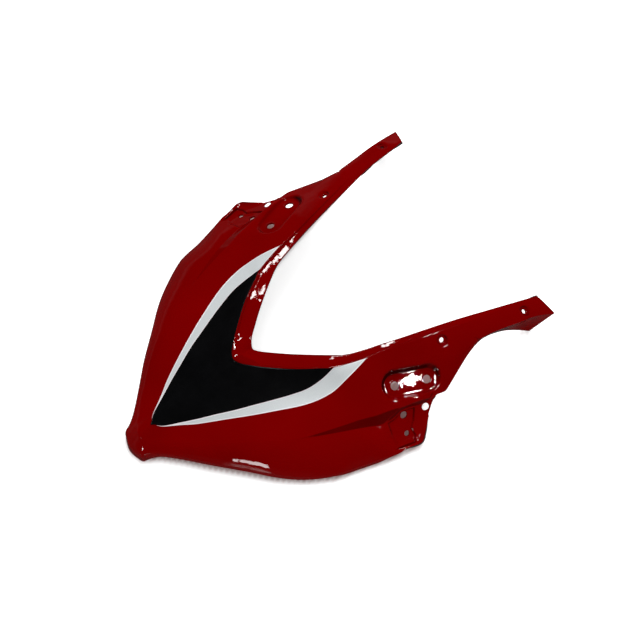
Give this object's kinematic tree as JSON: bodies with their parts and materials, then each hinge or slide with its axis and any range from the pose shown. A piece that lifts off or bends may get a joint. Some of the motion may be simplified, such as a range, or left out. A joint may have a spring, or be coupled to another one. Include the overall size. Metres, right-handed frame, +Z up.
{
  "type": "motorcycle fairing",
  "caption": "Upper nose cowl of a sport motorcycle: a thin moulded shell with a pointed nose, a V cut-out for the windscreen, two long arms and a two-colour chevron.",
  "frame": {"origin": "middle of the cowl's length and width, on the ground it lies on", "axes": "+Z up, out of the painted face; +Y from the beak to the arm tips; +X to the rider's left when the cowl is on the motorcycle facing -Y, so the mirror plane is X = 0"},
  "size_m": [0.4058, 0.5394, 0.0824],
  "materials": {
    "red_paint": "deep red gloss paint under clear coat",
    "black_film": "black film under clear coat",
    "silver_film": "pale silver film under clear coat"
  },
  "bodies": {
    "root": {"shell": "red_paint", "black_field": "black_film", "left_stripe": "silver_film", "right_stripe": "silver_film"}
  },
  "joints": []
}
